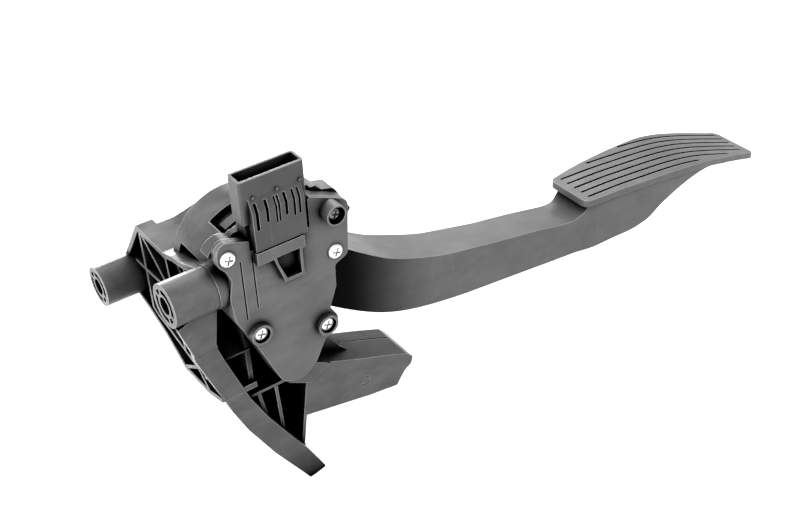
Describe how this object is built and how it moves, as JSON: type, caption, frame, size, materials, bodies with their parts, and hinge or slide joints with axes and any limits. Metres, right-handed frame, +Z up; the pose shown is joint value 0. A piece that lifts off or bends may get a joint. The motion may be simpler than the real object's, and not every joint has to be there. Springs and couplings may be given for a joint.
{
  "type": "accelerator pedal",
  "caption": "Moulded plastic accelerator pedal: a ribbed bracket with two mounting tubes, a hinged arm with a grooved foot plate, and a position sensor unit with an upright plug socket.",
  "frame": {"origin": "centre of the mouth of the mounting tube on the sensor side", "axes": "+X from the tube mouths towards the foot plate, along the tubes; +Y along the pivot, away from the sensor; +Z up, the way the plug socket opens"},
  "size_m": [0.3431, 0.094, 0.166],
  "materials": {
    "bracket_plastic": "moulded, fine grain",
    "bush": "smooth",
    "housing_plastic": "moulded, fine grain",
    "cover_plastic": "moulded, satin",
    "zinc_steel": "bright zinc",
    "black_steel": "black coated",
    "board": "coated",
    "chip": "moulded",
    "tinned_brass": "tinned",
    "rotor_plastic": "moulded",
    "magnet": "sintered",
    "shaft_steel": "ground",
    "arm_plastic": "moulded, fine grain",
    "spring_steel": "drawn",
    "retainer_plastic": "moulded",
    "buffer_rubber": "matt",
    "seal_rubber": "smooth"
  },
  "bodies": {
    "base": {"bracket": "bracket_plastic", "pivot_bush_near": "bush", "pivot_bush_far": "bush", "sensor_housing": "housing_plastic", "sensor_cover": "cover_plastic", "cover_screws": "zinc_steel", "sensor_fixing_screw": "black_steel", "circuit_board": "board", "hall_chips": "chip", "connector_pins": "tinned_brass", "spring_retainer": "retainer_plastic", "friction_ring": "bush", "rest_buffer": "buffer_rubber", "cover_seal": "seal_rubber"},
    "arm": {"pedal_arm": "arm_plastic", "pivot_shaft": "shaft_steel", "rotor": "rotor_plastic", "rotor_magnet": "magnet", "return_spring_outer": "spring_steel", "return_spring_inner": "spring_steel", "shaft_clip": "black_steel", "shaft_washer": "zinc_steel"}
  },
  "joints": [
    {"name": "pedal_hinge", "type": "hinge", "parent": "base", "child": "arm", "pos_m": [0.0438, 0.014, -0.0055], "axis": [0, 1, 0], "range_deg": [0, 13], "stiffness_Nm_per_rad": 8, "springref_deg": -20.05}
  ]
}
